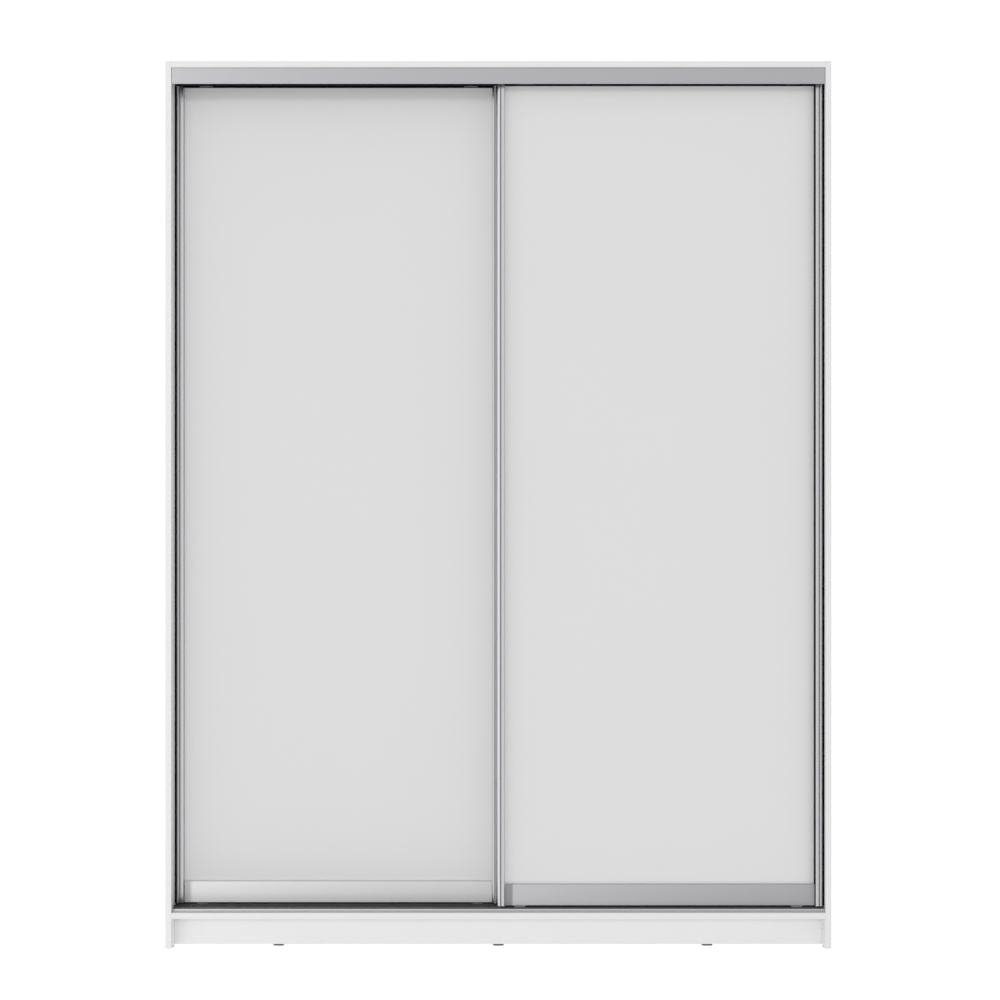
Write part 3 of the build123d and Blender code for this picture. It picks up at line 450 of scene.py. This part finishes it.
# ------------------------------------------------------------------ handles
# the section of a handle in millimetres: u outwards from its inner lip, v back from its nose
HANDLE_DEEP = 38.0
WALL = 1.5
HALF_WALL = WALL / 2
LIP_V = 18.9
FACET_U = 7.4
GROOVE_V = 5.2
STRIP_V = 3.0
WEB_U = 13.3
RAIL_SLOT_V = (18.95, 31.05)
SLOT_U = (0.1, 12.9)
REAR_V = HANDLE_DEEP - HALF_WALL
FOLD_V = 34.9
OUTER_ARM = 22.0
MEETING_ARM = 23.3
NOSE_STEPS = 12
NOSE_START = 11.75
NOSE_RADIUS = 9.25
NOSE_TURN = 43.0


def nose_arc():
    """Points of the rounded grip of the handle, outwards from the groove, as (u, v) in millimetres."""
    turns = [math.radians(NOSE_TURN) * i / NOSE_STEPS for i in range(NOSE_STEPS + 1)]
    return [
        (NOSE_START + NOSE_RADIUS * math.sin(turn), HALF_WALL + NOSE_RADIUS * (1 - math.cos(turn)))
        for turn in turns
    ]


def handle(body, node_name, out, arm):
    """One handle profile. out is +1 or -1 along X, arm the reach of the rear wall."""
    low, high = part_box(node_name)
    lip = low.x if out > 0 else high.x
    nose = high.y - HANDLE_DEEP * MM
    z0, z1 = low.z, high.z

    def place(points):
        return [(lip + out * u * MM, nose + v * MM) for u, v in points]

    lip_and_facet = [(HALF_WALL, LIP_V), (HALF_WALL, HALF_WALL), (FACET_U, HALF_WALL)]
    groove = [(FACET_U + 0.1, GROOVE_V), (NOSE_START, GROOVE_V)]
    face = lip_and_facet + groove + nose_arc()
    front = trace_strip(place(face), z0, z1, WALL * MM, 0.35 * MM)
    finish_piece(front, node_name + "_profile", handle_metal, body, (node_name,))
    strip = place([(FACET_U + 1.0, STRIP_V), (NOSE_START - 1.0, STRIP_V)])
    insert = trace_strip(strip, z0, z1, 1.2 * MM, 0.2 * MM)
    finish_piece(insert, node_name + "_groove_strip", grey_rubber, body, (node_name,))
    web = [(WEB_U, 1.7), (WEB_U, REAR_V), (arm - HALF_WALL, REAR_V), (arm - HALF_WALL, FOLD_V)]
    parts = [trace_strip(place(web), z0, z1, WALL * MM, 0.35 * MM)]
    for v in RAIL_SLOT_V:
        parts.append(trace_strip(place([(u, v) for u in SLOT_U]), z0, z1, WALL * MM, 0.25 * MM))
    rear = join(parts)
    # the outer handles' rear walls take the painted-shade aluminium, the meeting handles keep the handle
    # aluminium
    look = recess_painted_shade_metal if arm == OUTER_ARM else handle_metal
    finish_piece(rear, node_name + "_rear_wall", look, body, (node_name,))


for door in ("left_door", "right_door"):
    for side, out in (("left", -1), ("right", 1)):
        arm = OUTER_ARM if (door == "left_door") == (side == "left") else MEETING_ARM
        handle(door, f"{door}_handle_{side}", out, arm)

# ------------------------------------------------------------------ gaskets between panel and profiles
CLEAR = 0.02 * MM
BEAD = 0.9 * MM
BEAD_EDGE = 0.3 * MM
for door in ("left_door", "right_door"):
    low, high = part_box(door + "_panel")
    rail_low, rail_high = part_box(door + "_bottom_rail")
    front = low.y
    for side, out in (("left", -1), ("right", 1)):
        h_low, h_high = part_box(f"{door}_handle_{side}")
        lip = h_low.x if out > 0 else h_high.x
        nose = h_high.y - HANDLE_DEEP * MM
        x0, x1 = sorted((lip - out * 1.2 * MM, lip + out * 1.0 * MM))
        black = door == "right_door" and side == "right"
        if black:
            # a deep black bead lines the whole inner wall of this handle: partly a real gasket, partly
            # painted shade in the gap beside it
            x0, x1 = lip - 1.3 * MM, lip - CLEAR
            corner = (x1, front - CLEAR, high.z)
            bead = cube((x0, nose + 1.2 * MM, h_low.z), corner, BEAD_EDGE)
            foot = cube((lip - 2.6 * MM, front - BEAD, rail_high.z), corner, BEAD_EDGE)
            obj = join([bead, foot])
        else:
            obj = cube((x0, front - BEAD, rail_high.z), (x1, front - CLEAR, high.z), BEAD_EDGE)
        finish_piece(obj, f"{door}_gasket_{side}", rubber if black else pale_rubber, door)
    obj = cube((rail_low.x, front - 0.8 * MM, rail_high.z),
               (rail_high.x, front - CLEAR, rail_high.z + BEAD), 0.25 * MM)
    finish_piece(obj, door + "_gasket_bottom", pale_rubber, door)

# a black strip along the top edge of the front door's panel, where it passes under the fascia: painted shade
# in the gap under the fascia
low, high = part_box("right_door_panel")
rail_low, rail_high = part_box("right_door_top_rail")
obj = cube((rail_low.x, low.y - BEAD, high.z - 2.8 * MM), (rail_high.x, low.y - CLEAR, high.z), BEAD_EDGE)
finish_piece(obj, "right_door_top_painted_shade_strip", rubber, "right_door")

# ------------------------------------------------------------------ brush strips
PILE_STEP = 5.0 * MM
OUTER_REACH = 0.6
MEETING_REACH = 4.1
TIP_SHAPE = (1.0, 0.45, 0.7)


def pile_strip(x_root, x_tip, y0, y1, z0, z1):
    """A woven pile strip: one tuft with a narrowed tip, repeated up the strip."""
    clear_selection()
    count = int((z1 - z0) / PILE_STEP)
    step = (z1 - z0) / count
    bpy.ops.mesh.primitive_cube_add(
        size=1.0, location=((x_root + x_tip) / 2, (y0 + y1) / 2, z0 + step / 2),
        scale=(abs(x_tip - x_root), y1 - y0, step),
    )
    obj = bpy.context.object
    bpy.ops.object.transform_apply(location=True, rotation=True, scale=True)
    bpy.ops.object.mode_set(mode="EDIT")
    bpy.ops.mesh.select_mode(type="FACE")
    bpy.ops.mesh.select_all(action="DESELECT")
    bpy.ops.object.mode_set(mode="OBJECT")
    outward = 1.0 if x_tip > x_root else -1.0
    for face in obj.data.polygons:
        face.select = face.normal.x * outward > 0.9
    bpy.ops.object.mode_set(mode="EDIT")
    bpy.ops.transform.resize(value=TIP_SHAPE)
    bpy.ops.object.mode_set(mode="OBJECT")
    rows = obj.modifiers.new("rows", "ARRAY")
    rows.count = count
    rows.use_relative_offset = False
    rows.use_constant_offset = True
    rows.constant_offset_displace = (0.0, 0.0, step)
    apply_all(obj)
    return obj


for door in ("left_door", "right_door"):
    low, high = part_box(door + "_brush_strips")
    for side, out in (("left", -1), ("right", 1)):
        outer = (door == "left_door") == (side == "left")
        arm, reach = (OUTER_ARM, OUTER_REACH) if outer else (MEETING_ARM, MEETING_REACH)
        h_low, h_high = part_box(f"{door}_handle_{side}")
        lip = h_low.x if out > 0 else h_high.x
        root, tip = lip + out * (arm - 0.4) * MM, lip + out * (arm + reach) * MM
        obj = pile_strip(root, tip, low.y, high.y, low.z, high.z)
        # outer piles take the near-black painted-shade tone, meeting piles the pale painted-light tone
        look = painted_shade_brush if outer else painted_light_brush
        finish_piece(obj, f"{door}_pile_{side}", look, door, (door + "_brush_strips",))

# ------------------------------------------------------------------ black strips where the doors close against the side panels: partly real buffers, partly painted shade in the narrow gap
BUFFER_THICK = 0.6 * MM
for door, side, into in (("left_door", "left", 1), ("right_door", "right", -1)):
    low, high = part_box(f"{door}_handle_{side}")
    panel_low, panel_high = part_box("side_panel_" + side)
    face = panel_high.x if into > 0 else panel_low.x
    x0, x1 = sorted((face, face + into * BUFFER_THICK))
    obj = cube((x0, low.y + 0.5 * MM, low.z), (x1, high.y, high.z), 0.2 * MM)
    finish_piece(obj, "side_buffer_and_shade_" + side, rubber, "carcass")

# ------------------------------------------------------------------ apron of the bottom track
APRON_SETBACK = 1.3 * MM
APRON_THICK = 1.0 * MM
bottom_low, bottom_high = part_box("bottom_panel")
obj = cube((track_low.x, bottom_low.y + APRON_SETBACK, bottom_high.z),
           (track_high.x, track_low.y + 0.5 * MM, bottom_high.z + APRON_THICK), 0.3 * MM)
finish_piece(obj, "bottom_track_apron", track_metal_painted_shade, "carcass")

# ------------------------------------------------------------------ studio
scene = bpy.context.scene
scene.view_settings.view_transform = "Standard"
scene.view_settings.look = "None"
scene.view_settings.exposure = 0.0
scene.view_settings.gamma = 1.0

world = bpy.data.worlds.new("studio_white")
scene.world = world
world.use_nodes = True
sky = world.node_tree
sky.nodes.clear()
# soft light from all round, stronger from below, as over a white floor
SKY_UP = 0.59
SKY_DOWN = 1.02
SKY_GLOSS = 0.86
SKY_GLOSS_FALL = 0.35
SKY_GLOSS_LEAST = 0.3
SKY_SEEN = 1.05
way = node(sky, "SeparateXYZ", {0: sky.nodes.new("ShaderNodeTexCoord").outputs["Generated"]}).outputs
lower = math_node(sky, "LESS_THAN", way["Z"], 0.0)
lower = math_node(sky, "MULTIPLY", lower, SKY_DOWN - SKY_UP)
strength = math_node(sky, "ADD", lower, SKY_UP)
fill = node(sky, "Background", {"Color": (1, 1, 1, 1), "Strength": strength})
# reflections fade towards the right, where no lamp stands
glow = math_node(sky, "SUBTRACT", SKY_GLOSS, math_node(sky, "MULTIPLY", way["X"], SKY_GLOSS_FALL))
glow = math_node(sky, "MAXIMUM", glow, SKY_GLOSS_LEAST)
gloss = node(sky, "Background", {"Color": (0.99, 0.985, 1, 1), "Strength": glow})
seen = node(sky, "Background", {"Color": (1, 1, 1, 1), "Strength": SKY_SEEN})
path = node(sky, "LightPath")
mirrored = node(sky, "MixShader", {0: path.outputs["Is Glossy Ray"], 1: fill.outputs[0],
                                   2: gloss.outputs[0]})
pick = node(sky, "MixShader", {0: path.outputs["Is Camera Ray"], 1: mirrored.outputs[0],
                               2: seen.outputs[0]})
node(sky, "OutputWorld", {"Surface": pick.outputs[0]})

FLOOR_WIDE = 60
FLOOR_GLOW = 0.62
clear_selection()
bpy.ops.mesh.primitive_grid_add(x_subdivisions=8, y_subdivisions=8, size=1.0, location=(0, 0, 0),
                                scale=(FLOOR_WIDE, FLOOR_WIDE, 1))
floor = bpy.context.object
bpy.ops.object.transform_apply(location=True, rotation=True, scale=True)
floor.name = "studio_floor"
floor_look, tree, shader, place = start_material("pale_floor")
skin = use_group(tree, board_skin, Vector=place, Color=(0.86, 0.86, 0.86, 1), Tone=0.01, Roughness=0.8,
                 Pearl_Scale=60.0)
tree.links.new(skin.outputs["Color"], shader.inputs["Base Color"])
tree.links.new(skin.outputs["Roughness"], shader.inputs["Roughness"])
tree.links.new(skin.outputs["Color"], shader.inputs["Emission Color"])
shader.inputs["Emission Strength"].default_value = FLOOR_GLOW
floor.data.materials.append(floor_look)
floor.visible_diffuse = False
floor.visible_glossy = False
floor.visible_shadow = False


def softbox(name, place, aim, size, energy, only=None):
    """A rectangular lamp; only is the group of pieces that it lights, as behind a flag."""
    data = bpy.data.lights.new(name, "AREA")
    data.shape = "RECTANGLE"
    data.size, data.size_y = size
    data.energy = energy
    lamp = bpy.data.objects.new(name, data)
    scene.collection.objects.link(lamp)
    lamp.location = place
    lamp.rotation_euler = (Vector(aim) - Vector(place)).to_track_quat("-Z", "Y").to_euler()
    if only:
        lamp.light_linking.receiver_collection = only
    return lamp


def lit_group(name, *node_names):
    """The pieces that a flagged lamp lights."""
    made = bpy.data.collections.new(name)
    for node_name in node_names:
        made.objects.link(frame["nodes"][node_name])
    return made


metalwork = lit_group("metalwork", "top_fascia", "bottom_track", "left_door_bottom_rail")
boards = lit_group("boards", "side_panel_left", "side_panel_right", "top_panel", "bottom_panel",
                   "plinth_front")
front_rail = lit_group("front_rail", "right_door_bottom_rail")

# a tall narrow lamp close by on the left, with a power for each group of pieces
STRIP_PLACE = (-1.364, -1.14, 1.2)
STRIP_AIM = (0.2, -0.3, 1.2)
STRIP_SIZE = (0.10, 3.2)
softbox("strip_left", STRIP_PLACE, STRIP_AIM, STRIP_SIZE, 1.8, boards)
softbox("strip_left_metal", STRIP_PLACE, STRIP_AIM, STRIP_SIZE, 13.0, metalwork)
softbox("strip_left_rail", STRIP_PLACE, STRIP_AIM, STRIP_SIZE, 72.0, front_rail)

# a high front light, which throws the fascia's shade on the doors
SUN_AIM = (0.0, 1.0, -0.37)
sun_data = bpy.data.lights.new("high_front", "SUN")
sun_data.energy = 0.33
sun_data.angle = math.radians(8.0)
sun = bpy.data.objects.new("high_front", sun_data)
sun.visible_glossy = False
scene.collection.objects.link(sun)
sun.rotation_euler = Vector(SUN_AIM).to_track_quat("-Z", "Y").to_euler()

MIDDLE_FRONT = (0, -0.3, 1.2)
MIDDLE_BACK = (0, 0.3, 1.2)
softbox("front_left", (-2.2, -5.6, 1.2), MIDDLE_FRONT, (0.8, 9.0), 25.0, boards)
softbox("rear_fill", (0.4, 6.0, 2.6), MIDDLE_BACK, (3.0, 3.0), 90.0)

camera_data = bpy.data.cameras.new("camera")
camera = bpy.data.objects.new("camera", camera_data)
scene.collection.objects.link(camera)
camera.location = (0.0, -5.9, 1.293)
camera.rotation_euler = (math.radians(90), 0, 0)
camera_data.sensor_width = 36.0
camera_data.lens = 74.6
camera_data.shift_x = 0.00164
camera_data.shift_y = -0.028
camera_data.clip_end = 100.0
scene.camera = camera
